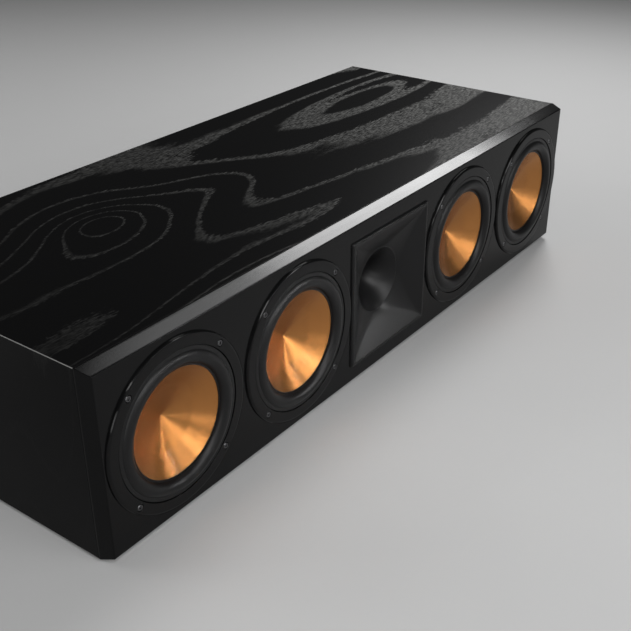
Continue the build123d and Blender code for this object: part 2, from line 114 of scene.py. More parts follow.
class Term:
    """An output socket that takes part in Python expressions."""

    def __init__(self, tree: "Tree", socket: bpy.types.NodeSocket | None) -> None:
        """Keep the tree and the socket."""
        self.tree = tree
        self.socket = socket

    def math(self, operation: str, first: "Operand", second: "Operand" = 0.0) -> "Term":
        """Add a Math node on two operands."""
        return self.tree.add("ShaderNodeMath", {"operation": operation}, {0: first, 1: second})

    def __add__(self, other: "Operand") -> "Term":
        """Sum."""
        return self.math("ADD", self, other)

    def __radd__(self, other: "Operand") -> "Term":
        """Sum with a number on the left."""
        return self.math("ADD", other, self)

    def __sub__(self, other: "Operand") -> "Term":
        """Difference."""
        return self.math("SUBTRACT", self, other)

    def __rsub__(self, other: "Operand") -> "Term":
        """Difference with a number on the left."""
        return self.math("SUBTRACT", other, self)

    def __mul__(self, other: "Operand") -> "Term":
        """Product."""
        return self.math("MULTIPLY", self, other)

    def __truediv__(self, other: "Operand") -> "Term":
        """Quotient."""
        return self.math("DIVIDE", self, other)

    def __pow__(self, other: "Operand") -> "Term":
        """Power."""
        return self.math("POWER", self, other)

    def __abs__(self) -> "Term":
        """Absolute value."""
        return self.math("ABSOLUTE", self)

    def sine(self) -> "Term":
        """Sine of an angle in radians."""
        return self.math("SINE", self)

    def exponential(self) -> "Term":
        """Power of e."""
        return self.math("EXPONENT", self)

    def fraction(self) -> "Term":
        """What is left after the whole number."""
        return self.math("FRACT", self)

    def ramp(self, low: float, high: float) -> "Term":
        """Smooth step from 0 at low to 1 at high.

        Args:
            low: value that gives 0.
            high: value that gives 1; it may be the smaller of the two.

        Returns:
            The step as a term.
        """
        settings = {"interpolation_type": "SMOOTHSTEP"}
        if low < high:
            return self.tree.add("ShaderNodeMapRange", settings, {"Value": self, 1: low, 2: high})
        return 1 - self.tree.add("ShaderNodeMapRange", settings, {"Value": self, 1: high, 2: low})


Operand = Term | float | int


class Tree:
    """Adds nodes to one node tree."""

    def __init__(self, nodes: bpy.types.NodeTree) -> None:
        """Keep the tree."""
        self.nodes = nodes

    def add(
        self,
        kind: str,
        settings: dict[str, object] | None = None,
        inputs: dict[str | int, object] | None = None,
        output: str | int = 0,
    ) -> Term:
        """Add one node.

        Args:
            kind: the node's type.
            settings: properties of the node, set before its sockets.
            inputs: value or term for each socket, by name or place.
            output: name or place of the socket that is returned.

        Returns:
            The chosen output, or an empty term where the node has none.
        """
        node = self.nodes.nodes.new(kind)
        for name, value in (settings or {}).items():
            setattr(node, name, value)
        for key, value in (inputs or {}).items():
            self.feed(node.inputs[key], value)
        return Term(self, node.outputs[output] if len(node.outputs) else None)

    def feed(self, socket: bpy.types.NodeSocket, value: object) -> None:
        """Link a term to a socket, or set the socket's own value."""
        if isinstance(value, Term):
            self.nodes.links.new(value.socket, socket)
        else:
            socket.default_value = value

    def parts(self, vector: Term) -> tuple[Term, Term, Term]:
        """Split a vector into its three numbers."""
        node = self.add("ShaderNodeSeparateXYZ", inputs={0: vector}).socket.node
        return Term(self, node.outputs[0]), Term(self, node.outputs[1]), Term(self, node.outputs[2])

    def vector(self, x: Operand, y: Operand, z: Operand = 0.0) -> Term:
        """Join three numbers into a vector."""
        return self.add("ShaderNodeCombineXYZ", inputs={0: x, 1: y, 2: z})

    def noise(self, place: Term, scale: float, detail: float = 2.0, roughness: float = 0.5) -> Term:
        """Noise from 0 to 1 about a place.

        Args:
            place: the point to read.
            scale: how many bumps there are in a metre.
            detail: octaves of finer noise.
            roughness: strength of the finer noise.

        Returns:
            The noise as a term.
        """
        values = {"Vector": place, "Scale": scale, "Detail": detail, "Roughness": roughness}
        return self.add("ShaderNodeTexNoise", inputs=values)

    def drawn(
        self,
        along: Term,
        across: Term,
        scale: tuple[float, float],
        detail: float = 3.0,
        roughness: float = 0.5,
    ) -> Term:
        """Noise that is drawn out along one way.

        Args:
            along: place along the grain.
            across: place across it.
            scale: bumps in a metre, along and across.
            detail: octaves of finer noise.
            roughness: strength of the finer noise.

        Returns:
            The noise as a term.
        """
        return self.noise(self.vector(along * scale[0], across * scale[1]), 1.0, detail, roughness)

    def blend(self, share: Operand, first: Colour | Term, second: Colour | Term) -> Term:
        """Mix two colours.

        Args:
            share: 0 gives the first colour, 1 the second.
            first: a colour or a term.
            second: a colour or a term.

        Returns:
            The mixed colour.
        """
        values = {0: share, 6: self.opaque(first), 7: self.opaque(second)}
        return self.add("ShaderNodeMix", {"data_type": "RGBA"}, values, 2)

    @staticmethod
    def opaque(colour: Colour | Term) -> tuple[float, ...] | Term:
        """Give a plain colour its fourth number."""
        return colour if isinstance(colour, Term) else (*colour, 1.0)


class Skin:
    """One material while its nodes are being added."""

    def __init__(self, name: str, constants: dict[str, object]) -> None:
        """Start a material with one shader.

        Args:
            name: the material's name.
            constants: values that are the same all over the surface, by socket.
        """
        self.material = bpy.data.materials.new(name)
        self.material.use_nodes = True
        self.material.node_tree.nodes.clear()
        self.tree = Tree(self.material.node_tree)
        surface = self.tree.add("ShaderNodeBsdfPrincipled", inputs=constants)
        self.shader = surface.socket.node
        self.tree.add("ShaderNodeOutputMaterial", inputs={"Surface": surface})
        self.place = self.tree.add("ShaderNodeTexCoord", output="Object")

    def drive(self, socket: str, term: Term) -> None:
        """Let a term vary one socket of the shader."""
        self.tree.feed(self.shader.inputs[socket], term)

    def emboss(self, height: Term) -> None:
        """Raise the surface by a height in metres."""
        values = {"Strength": 1.0, "Distance": 1.0, "Height": height}
        self.drive("Normal", self.tree.add("ShaderNodeBump", inputs=values))


@dataclass(frozen=True)
class Finish:
    """What every finish has."""

    name: str
    colour: Colour
    roughness: float
    specular: float = 0.5
    coat: float = 0.0
    coat_roughness: float = 0.1

    def constants(self) -> dict[str, object]:
        """Values of the shader that are the same all over."""
        return {
            "Base Color": (*self.colour, 1.0),
            "Roughness": self.roughness,
            "Specular IOR Level": self.specular,
            "Coat Weight": self.coat,
            "Coat Roughness": self.coat_roughness,
        }

    def make(self) -> bpy.types.Material:
        """Build the material."""
        raise NotImplementedError


@dataclass(frozen=True)
class Grained(Finish):
    """Paint, moulded plastic or rubber: a fine grain and a little unevenness."""

    grain: float = 0.4 * MM
    grain_height: float = 0.01 * MM
    mottle: float = 0.15
    metallic: float = 0.0
    cloud_scale: float = 14.0
    cloud_share: float = 0.6
    cloud_gloss: float = 0.12
    grain_gloss: float = 0.08

    def make(self) -> bpy.types.Material:
        """Build the material.

        Returns:
            The material, with its colour, gloss and grain varied by noise.
        """
        skin = Skin(self.name, self.constants() | {"Metallic": self.metallic})
        tree = skin.tree
        fine = tree.noise(skin.place, 1 / self.grain, 2.0)
        cloud = tree.noise(skin.place, self.cloud_scale, 4.0)
        share = cloud * self.cloud_share + fine * (1 - self.cloud_share)
        darker, lighter = scaled(self.colour, 1 - self.mottle), scaled(self.colour, 1 + self.mottle)
        gloss = (cloud - 0.5) * self.cloud_gloss + (fine - 0.5) * self.grain_gloss
        skin.drive("Base Color", tree.blend(share, darker, lighter))
        skin.drive("Roughness", self.roughness + gloss)
        skin.emboss(fine * self.grain_height)
        return skin.material


@dataclass(frozen=True)
class Swell:
    """One soft hill in the figure of the veneer, counted in grain lines."""

    along: float
    across: float
    length: float
    width: float
    height: float

    def rise(self, along: Term, across: Term) -> Term:
        """Height of the hill at a place."""
        far = ((along - self.along) / self.length) ** 2 + ((across - self.across) / self.width) ** 2
        return (far * -1).exponential() * self.height


@dataclass(frozen=True)
class Veneer(Finish):
    """Black-stained open-pored veneer whose pale grain follows the contours of broad swells, with a painted
    highlight on the top edges at both ends.
    """

    pale: Colour = (0.15, 0.15, 0.145)
    line_width: float = 0.1
    widening: float = 0.8
    wander: float = 0.22
    top: float = 0.221
    half: float = 0.4825
    # Colour of the painted highlight along the top edges at both ends, standing in for light caught by their
    # rounding.
    painted_edge_highlight: Colour = (0.3, 0.3, 0.29)
    rear: float = 0.1975
    rear_margin: float = 1.0 * MM
    # Width of the strip that carries the painted edge highlight.
    edge_highlight_width: float = 1.0 * MM
    tilt: float = 1.9
    shift: float = 0.14
    line_core: float = 0.55
    figure_scale: tuple[float, float] = (12.0, 60.0)
    fibre_scale: tuple[float, float] = (60.0, 900.0)
    fibre_wander: float = 0.1
    fibre_span: tuple[float, float] = (0.3, 0.6)
    streak_scale: tuple[float, float] = (110.0, 480.0)
    streak_roughness: float = 0.6
    streak_wander: float = 0.22
    streak_span: tuple[float, float] = (0.38, 0.62)
    streak_floor: float = 0.2
    fade_slope: float = 0.75
    fade_base: float = 0.62
    side_reach: float = 30.0 * MM
    side_loss: float = 0.6
    pale_gloss: float = 0.15
    pore_depth: float = 0.05 * MM
    swells: tuple[Swell, ...] = (
        Swell(-0.25, 0.042, 0.045, 0.029, 1.6),
        Swell(-0.253, 0.037, 0.11, 0.09, 3.35),
        Swell(-0.088, 0.016, 0.08, 0.052, 1.2),
        Swell(-0.374, -0.141, 0.406, 0.064, 4.0),
        Swell(-0.269, -0.178, 0.16, 0.079, -1.9),
        Swell(-0.483, -0.017, 0.27, 0.076, 3.95),
        Swell(0.352, 0.078, 0.143, 0.032, 2.4),
        Swell(0.389, 0.079, 0.268, 0.059, -3.8),
        Swell(0.559, -0.046, 0.406, 0.051, -1.1),
        Swell(-0.45, -0.105, 0.1, 0.03, -0.1),
    )

    def figure(self, tree: Tree, along: Term, across: Term) -> Term:
        """Height of all the swells together.

        Args:
            tree: where the nodes go.
            along: place along the grain.
            across: place across the grain.

        Returns:
            The height, where each whole number is a grain line.
        """
        uneven = tree.drawn(along, across, self.figure_scale)
        height = along * self.tilt + (uneven - 0.5) * self.wander + self.shift
        for swell in self.swells:
            height = height + swell.rise(along, across)
        return height

    def make(self) -> bpy.types.Material:
        """Build the material.

        Returns:
            The veneer, with its grain folded down over the sides.
        """
        skin = Skin(self.name, self.constants())
        tree = skin.tree
        x, y, z = tree.parts(skin.place)
        fall = self.top - z
        along = x + x.math("SIGN", x) * fall
        fibre = tree.drawn(along, y, self.fibre_scale)
        streak = tree.drawn(along, y, self.streak_scale, 2.0, self.streak_roughness)
        height = self.figure(tree, along, y)
        height = height + (fibre - 0.5) * self.fibre_wander + (streak - 0.5) * self.streak_wander
        off_line = abs((height + 0.5).fraction() - 0.5) * (1 - along * self.widening)
        band = off_line.ramp(self.line_width, self.line_width * self.line_core)
        fade = (along * self.fade_slope + self.fade_base) ** 2
        on_sides = 1 - fall.ramp(0.0, self.side_reach) * self.side_loss
        strength = fade * on_sides * y.ramp(self.rear, self.rear - self.rear_margin)
        broken = self.streak_floor + streak.ramp(*self.streak_span) * (1 - self.streak_floor)
        pale = band * broken * fibre.ramp(*self.fibre_span) * strength
        # Painted highlight: a pale strip along the top edges at both ends, in place of the light that the
        # rounded edge catches.
        edge_highlight_mask = abs(x).ramp(self.half - self.edge_highlight_width, self.half) * fall.ramp(self.edge_highlight_width, 0.0)
        grained = tree.blend(pale, self.colour, self.pale)
        skin.drive("Base Color", tree.blend(edge_highlight_mask, grained, self.painted_edge_highlight))
        skin.drive("Roughness", self.roughness + pale * self.pale_gloss)
        skin.emboss(fibre * band * self.pore_depth)
        return skin.material


@dataclass(frozen=True)
class SpunMetal(Finish):
    """Copper-coloured metal with fine rings from spinning, read from the piece's radius attribute."""

    ring_pitch: float = 0.56 * MM
    ring_slope: float = 0.7
    lean: float = 0.0
    shade: float = 0.1
    streak_scale: float = 500.0
    streak_gloss: float = 0.1

    def make(self) -> bpy.types.Material:
        """Build the material.

        Returns:
            The metal, with rings in its surface and its colour.
        """
        skin = Skin(self.name, self.constants() | {"Metallic": 1.0})
        tree = skin.tree
        radius = tree.add("ShaderNodeAttribute", {"attribute_name": "radius"}, output="Fac")
        step = (radius / self.ring_pitch).fraction()
        scallop = (step * step - step) * (self.ring_pitch * self.ring_slope)
        streaks = tree.noise(tree.vector(radius * self.streak_scale, 0.0), 1.0, 3.0)
        darker, lighter = scaled(self.colour, 1 - self.shade), scaled(self.colour, 1 + self.shade)
        skin.drive("Base Color", tree.blend(streaks, darker, lighter))
        skin.drive("Roughness", self.roughness + (streaks - 0.5) * self.streak_gloss)
        skin.emboss(scallop + radius * self.lean)
        return skin.material


@dataclass(frozen=True)
class Metal(Finish):
    """Plain turned, plated or oxidised metal with fine handling marks."""

    shade: float = 0.1
    mark_scale: float = 700.0
    mark_gloss: float = 0.14
    cloud_scale: float = 60.0

    def make(self) -> bpy.types.Material:
        """Build the material.

        Returns:
            The metal, with small changes of colour and gloss.
        """
        skin = Skin(self.name, self.constants() | {"Metallic": 1.0})
        tree = skin.tree
        marks = tree.noise(skin.place, self.mark_scale, 3.0)
        cloud = tree.noise(skin.place, self.cloud_scale, 3.0)
        skin.drive("Base Color", tree.blend(cloud, scaled(self.colour, 1 - self.shade), self.colour))
        skin.drive("Roughness", self.roughness + (marks - 0.5) * self.mark_gloss)
        return skin.material


@dataclass(frozen=True)
class Striped(Finish):
    """Wound wire, woven cloth or pressed board: two colours in fine stripes along one axis."""

    second: Colour = (0.1, 0.1, 0.1)
    pitch: float = 1.0 * MM
    axis: int = 1
    metallic: float = 0.0
    uneven_scale: float = 300.0
    uneven_share: float = 0.3
    uneven_gloss: float = 0.1
    relief: float = 0.15

    def make(self) -> bpy.types.Material:
        """Build the material.

        Returns:
            The striped material.
        """
        skin = Skin(self.name, self.constants() | {"Metallic": self.metallic})
        tree = skin.tree
        way = tree.parts(skin.place)[self.axis]
        uneven = tree.noise(skin.place, self.uneven_scale, 2.0)
        wave = (way * (math.tau / self.pitch)).sine() * 0.5 + 0.5
        share = wave * (1 - self.uneven_share) + uneven * self.uneven_share
        skin.drive("Base Color", tree.blend(share, self.second, self.colour))
        skin.drive("Roughness", self.roughness + (uneven - 0.5) * self.uneven_gloss)
        skin.emboss(wave * (self.pitch * self.relief))
        return skin.material


VENEER = Veneer("black_veneer", (0.0025, 0.0025, 0.0026), 0.3, 0.055)
BAFFLE_PAINT = Grained("satin_black_paint", (0.003, 0.003, 0.0031), 0.16, 0.105, grain=1.6 * MM)
REAR_PAINT = Grained("matt_black_paint", (0.012, 0.012, 0.0125), 0.55, 0.3, grain=0.7 * MM)
CAST_COAT = Grained("basket_coat", (0.003, 0.003, 0.0031), 0.12, 0.125, grain=0.5 * MM)
RUBBER = Grained("surround_rubber", (0.005, 0.005, 0.0052), 0.38, 0.18, grain=0.35 * MM)
COPPER_CONE = SpunMetal("copper_cone", (0.45, 0.192, 0.056), 0.24, 0.5, 0.12, 0.2, lean=-0.06)
COPPER_CAP = SpunMetal("copper_cap", (0.45, 0.192, 0.056), 0.24, 0.5, 0.12, 0.2, lean=0.22)
HORN_PLASTIC = Grained("horn_plastic", (0.004, 0.004, 0.0042), 0.36, 0.19, grain=0.5 * MM)
PORT_PLASTIC = Grained("port_plastic", (0.014, 0.014, 0.0145), 0.48, 0.4, grain=0.6 * MM)
CUP_PLASTIC = Grained("cup_plastic", (0.016, 0.016, 0.0165), 0.5, 0.4, grain=0.5 * MM)
GOLD_PLATING = Metal("gold_plating", (0.83, 0.6, 0.24), 0.2)
RED_CAP = Grained("red_cap", (0.36, 0.012, 0.012), 0.25, 0.5, 0.6, grain=1.0 * MM, grain_height=0.0)
BLACK_CAP = Grained("black_cap", (0.012, 0.012, 0.0125), 0.25, 0.5, 0.6, grain=1.0 * MM, grain_height=0.0)
BLACK_OXIDE = Metal("black_oxide", (0.1, 0.1, 0.103), 0.22, 0.5)
FOOT_RUBBER = Grained("foot_rubber", (0.015, 0.015, 0.015), 0.7, 0.3, grain=0.6 * MM)
ZINC_STEEL = Metal("zinc_steel", (0.42, 0.42, 0.44), 0.36)
FERRITE = Grained("ferrite", (0.035, 0.035, 0.038), 0.6, 0.4, grain=0.8 * MM, grain_height=0.03 * MM)
TURNED_ALLOY = Metal("turned_alloy", (0.5, 0.5, 0.52), 0.3)
DOME_FOIL = Metal("dome_foil", (0.62, 0.62, 0.64), 0.25)
RAW_BOARD = Grained("raw_board", (0.32, 0.22, 0.13), 0.8, 0.2, grain=0.9 * MM, grain_height=0.05 * MM)
COIL_WIRE = Striped("coil_wire", (0.6, 0.25, 0.1), 0.35, second=(0.3, 0.1, 0.03), metallic=0.9)
SPIDER_CLOTH = Striped("spider_cloth", (0.5, 0.36, 0.15), 0.85, second=(0.34, 0.22, 0.08), axis=0)
LAMINATE = Grained("board_laminate", (0.02, 0.11, 0.045), 0.4, 0.5, grain=1.2 * MM)
FILM = Grained("capacitor_film", (0.55, 0.36, 0.06), 0.35, 0.5, grain=2.0 * MM, grain_height=0.0)
CERAMIC = Grained("resistor_body", (0.62, 0.6, 0.55), 0.75, 0.3, grain=0.7 * MM)
FLOOR = Grained("studio_floor", (0.38, 0.38, 0.38), 0.85, 0.1, grain=6.0 * MM, mottle=0.02)


class Dresser:
    """Keeps one material of each finish and puts it on pieces."""

    def __init__(self) -> None:
        """Start with no materials."""
        self.made: dict[str, bpy.types.Material] = {}

    def material(self, finish: Finish) -> bpy.types.Material:
        """The material of a finish, made on its first use."""
        if finish.name not in self.made:
            self.made[finish.name] = finish.make()
        return self.made[finish.name]

    def paint(self, piece: bpy.types.Object, finish: Finish) -> None:
        """Give a whole piece one finish."""
        piece.data.materials.clear()
        piece.data.materials.append(self.material(finish))

    def paint_node(self, node: str, finish: Finish) -> None:
        """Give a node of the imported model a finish, its shape left alone."""
        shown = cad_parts[node]
        for slot in shown.material_slots:
            slot.material = self.material(finish)


def arc(centre: tuple[float, float], radius: float, start: float, end: float, steps: int) -> Profile:
    """Points along an arc.

    Args:
        centre: middle of the arc.
        radius: its radius.
        start: first angle, in degrees.
        end: last angle, in degrees.
        steps: how many stretches the arc has.

    Returns:
        The points, both ends among them.
    """
    turns = [math.radians(start + (end - start) * step / steps) for step in range(steps + 1)]
    return [(centre[0] + radius * math.cos(turn), centre[1] + radius * math.sin(turn)) for turn in turns]


def bulge(first: tuple[float, float], last: tuple[float, float], rise: float, steps: int) -> Profile:
    """Points along a circular arc between two points.

    Args:
        first: where the arc starts.
        last: where it ends.
        rise: how far its middle lies from the chord, to the left of the way along it.
        steps: how many stretches the arc has.

    Returns:
        The points, both ends among them.
    """
    start, end = Vector(first), Vector(last)
    chord = end - start
    radius = (chord.length**2 / 4 + rise**2) / (2 * rise)
    left = Vector((-chord.y, chord.x)).normalized()
    middle = (start + end) / 2 + left * (rise - radius)
    first_turn = math.atan2(start.y - middle.y, start.x - middle.x)
    sweep = math.atan2(end.y - middle.y, end.x - middle.x) - first_turn
    if sweep * rise > 0:
        sweep -= math.copysign(math.tau, rise)
    turns = [first_turn + sweep * step / steps for step in range(steps + 1)]
    return [(middle.x + abs(radius) * math.cos(t), middle.y + abs(radius) * math.sin(t)) for t in turns]


def piece_from(name: str, shape: bmesh.types.BMesh, sharp: float = SHARP_ANGLE) -> bpy.types.Object:
    """Make an object of a shape.

    Args:
        name: the object's name.
        shape: its faces, which are freed here.
        sharp: edges that turn by more than this many degrees stay sharp.

    Returns:
        The new object, at the origin.
    """
    mesh = bpy.data.meshes.new(name)
    shape.to_mesh(mesh)
    shape.free()
    mesh.shade_smooth()
    mesh.set_sharp_from_angle(angle=math.radians(sharp))
    piece = bpy.data.objects.new(name, mesh)
    bpy.context.scene.collection.objects.link(piece)
    return piece


def settle(piece: bpy.types.Object) -> None:
    """Turn a piece and its modifiers into a plain mesh."""
    graph = bpy.context.evaluated_depsgraph_get()
    mesh = bpy.data.meshes.new_from_object(piece.evaluated_get(graph), depsgraph=graph)
    piece.modifiers.clear()
    piece.data = mesh


def on_axis(low: Vector, high: Vector, depth: float) -> Vector:
    """The point at a depth on the line along Y through the middle of a box."""
    return Vector(((low.x + high.x) / 2, depth, (low.z + high.z) / 2))


def skin_over(shape: bmesh.types.BMesh, loops: list[list[bmesh.types.BMVert]]) -> None:
    """Join each ring of points to the next, and the last to the first.

    Args:
        shape: where the faces go.
        loops: the rings, each with the same number of points; one may be a single point repeated.
    """
    for loop, after in zip(loops, loops[1:] + loops[:1]):
        for step in range(len(loop)):
            follow = (step + 1) % len(loop)
            corners = dict.fromkeys((loop[step], loop[follow], after[follow], after[step]))
            if len(corners) > 2:
                shape.faces.new(corners)
    bmesh.ops.recalc_face_normals(shape, faces=shape.faces)


def lathe(name: str, profile: Profile, centre: Vector, segments: int = 192) -> bpy.types.Object:
    """Turn a closed outline about an axis along Y.

    Args:
        name: the object's name.
        profile: radius and depth of each point of the outline, in order round it.
        centre: where the axis meets depth 0.
        segments: how many steps the turn has.

    Returns:
        The turned piece, with each point's radius as an attribute.
    """
    shape = bmesh.new()
    loops: list[list[bmesh.types.BMVert]] = []
    for radius, depth in profile:
        if radius < AXIS_RADIUS:
            loops.append([shape.verts.new((centre.x, centre.y + depth, centre.z))] * segments)
            continue
        loop = []
        for step in range(segments):
            turn = math.tau * step / segments
            side, height = radius * math.cos(turn), radius * math.sin(turn)
            loop.append(shape.verts.new((centre.x + side, centre.y + depth, centre.z + height)))
        loops.append(loop)
    skin_over(shape, loops)
    piece = piece_from(name, shape)
    mark_radius(piece, centre)
    return piece


def mark_radius(piece: bpy.types.Object, centre: Vector) -> None:
    """Write each point's distance from the axis to the attribute that spun metal reads."""
    values = [math.hypot(v.co.x - centre.x, v.co.z - centre.z) for v in piece.data.vertices]
    attribute = piece.data.attributes.new("radius", "FLOAT", "POINT")
    attribute.data.foreach_set("value", values)


def hold(piece: bpy.types.Object, node: str) -> None:
    """Keep every point of a piece inside the box of the node that it copies."""
    low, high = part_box(node)
    for vertex in piece.data.vertices:
        vertex.co = [min(max(place, first), last) for place, first, last in zip(vertex.co, low, high)]


def eased_copy(
    node: str,
    name: str,
    easing: float = 0.0,
    sharp: float = SHARP_ANGLE,
    share: Callable[[Vector], float] = lambda place: 1.0,
) -> bpy.types.Object:
    """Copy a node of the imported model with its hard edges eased.

    Args:
        node: the node to copy.
        name: the copy's name.
        easing: width of the eased edges, or 0 for none.
        sharp: edges that turn by more than this many degrees count as hard.
        share: how much of the width an edge at a place takes.

    Returns:
        The copy, at the node's place.
    """
    shape = bmesh.new()
    shape.from_mesh(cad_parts[node].data)
    bmesh.ops.remove_doubles(shape, verts=shape.verts, dist=WELD_DISTANCE)
    weight = shape.edges.layers.float.new("bevel_weight_edge")
    for edge in shape.edges:
        if edge.is_manifold and edge.calc_face_angle() > math.radians(sharp):
            edge[weight] = share((edge.verts[0].co + edge.verts[1].co) / 2)
    piece = piece_from(name, shape, sharp)
    if easing:
        bevel = piece.modifiers.new("Easing", "BEVEL")
        bevel.width = easing
        bevel.segments = EASING_STEPS
        bevel.use_clamp_overlap = False
        bevel.loop_slide = False
        bevel.limit_method = "WEIGHT"
        bevel.face_strength_mode = "FSTR_ALL"
        shading = piece.modifiers.new("Shading", "WEIGHTED_NORMAL")
        shading.keep_sharp = True
        shading.use_face_influence = True
        settle(piece)
        hold(piece, node)
    return piece


def seat(piece: bpy.types.Object, body: str, slot: str, *nodes: str) -> bpy.types.Object:
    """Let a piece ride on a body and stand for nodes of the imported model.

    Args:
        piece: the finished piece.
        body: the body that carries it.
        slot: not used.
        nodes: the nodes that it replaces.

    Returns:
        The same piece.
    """
    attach(piece, body)
    if nodes:
        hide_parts(*nodes)
    return piece


class Pattern:
    """A Geometry Nodes tree with named sizes, run once on a piece."""

    def __init__(self, name: str) -> None:
        """Start a tree that takes and gives a geometry."""
        self.group = bpy.data.node_groups.new(name, "GeometryNodeTree")
        self.tree = Tree(self.group)
        self.sizes: dict[str, str] = {}
        self.group.interface.new_socket("Geometry", in_out="INPUT", socket_type="NodeSocketGeometry")
        self.group.interface.new_socket("Geometry", in_out="OUTPUT", socket_type="NodeSocketGeometry")
        self.source = self.tree.add("NodeGroupInput").socket.node

    def given(self) -> Term:
        """The geometry of the piece that the pattern runs on."""
        return Term(self.tree, self.source.outputs["Geometry"])

    def size(self, name: str, kind: str = "NodeSocketFloat") -> Term:
        """Add a named input."""
        socket = self.group.interface.new_socket(name, in_out="INPUT", socket_type=kind)
        self.sizes[name] = socket.identifier
        return Term(self.tree, self.source.outputs[name])

    def join(self, *shapes: Term) -> Term:
        """Join several geometries into one."""
        joined = self.tree.add("GeometryNodeJoinGeometry")
        for shape in reversed(shapes):
            self.tree.feed(joined.socket.node.inputs[0], shape)
        return joined

    def end(self, shape: Term, material: bpy.types.Material) -> None:
        """Make instances real, set the material and close the tree."""
        real = self.tree.add("GeometryNodeRealizeInstances", inputs={0: shape})
        values = {"Geometry": real, "Material": material}
        self.tree.add("NodeGroupOutput", inputs={0: self.tree.add("GeometryNodeSetMaterial", inputs=values)})

    def run(self, piece: bpy.types.Object, values: dict[str, object]) -> None:
        """Run the tree on a piece and keep the result as its mesh.

        Args:
            piece: the object that the tree takes.
            values: a value for each named input.
        """
        modifier = piece.modifiers.new("Pattern", "NODES")
        modifier.node_group = self.group
        for name, value in values.items():
            modifier[self.sizes[name]] = value
        settle(piece)


@dataclass
class Cabinet:
    """The boards of the box and its feet."""

    dresser: Dresser
    board_easing: float = 0.45 * MM

    def build(self) -> list[bpy.types.Object]:
        """Make the boards that show, and dress those inside.

        Returns:
            The new pieces.
        """
        boards = (
            ("cabinet_wrap", "veneered_wrap", VENEER, "veneer", self.board_easing),
            ("front_baffle", "painted_baffle", BAFFLE_PAINT, "baffle_paint", self.board_easing),
            ("rear_panel", "painted_rear_panel", REAR_PAINT, "rear_paint", self.board_easing),
            ("feet", "rubber_feet", FOOT_RUBBER, "foot_rubber", 0.0),
        )
        pieces = []
        for node, name, finish, slot, easing in boards:
            piece = eased_copy(node, name, easing)
            self.dresser.paint(piece, finish)
            pieces.append(seat(piece, Body.CABINET.value, slot, node))
        for side in ("left", "right"):
            self.dresser.paint_node(f"brace_{side}", RAW_BOARD)
        return pieces


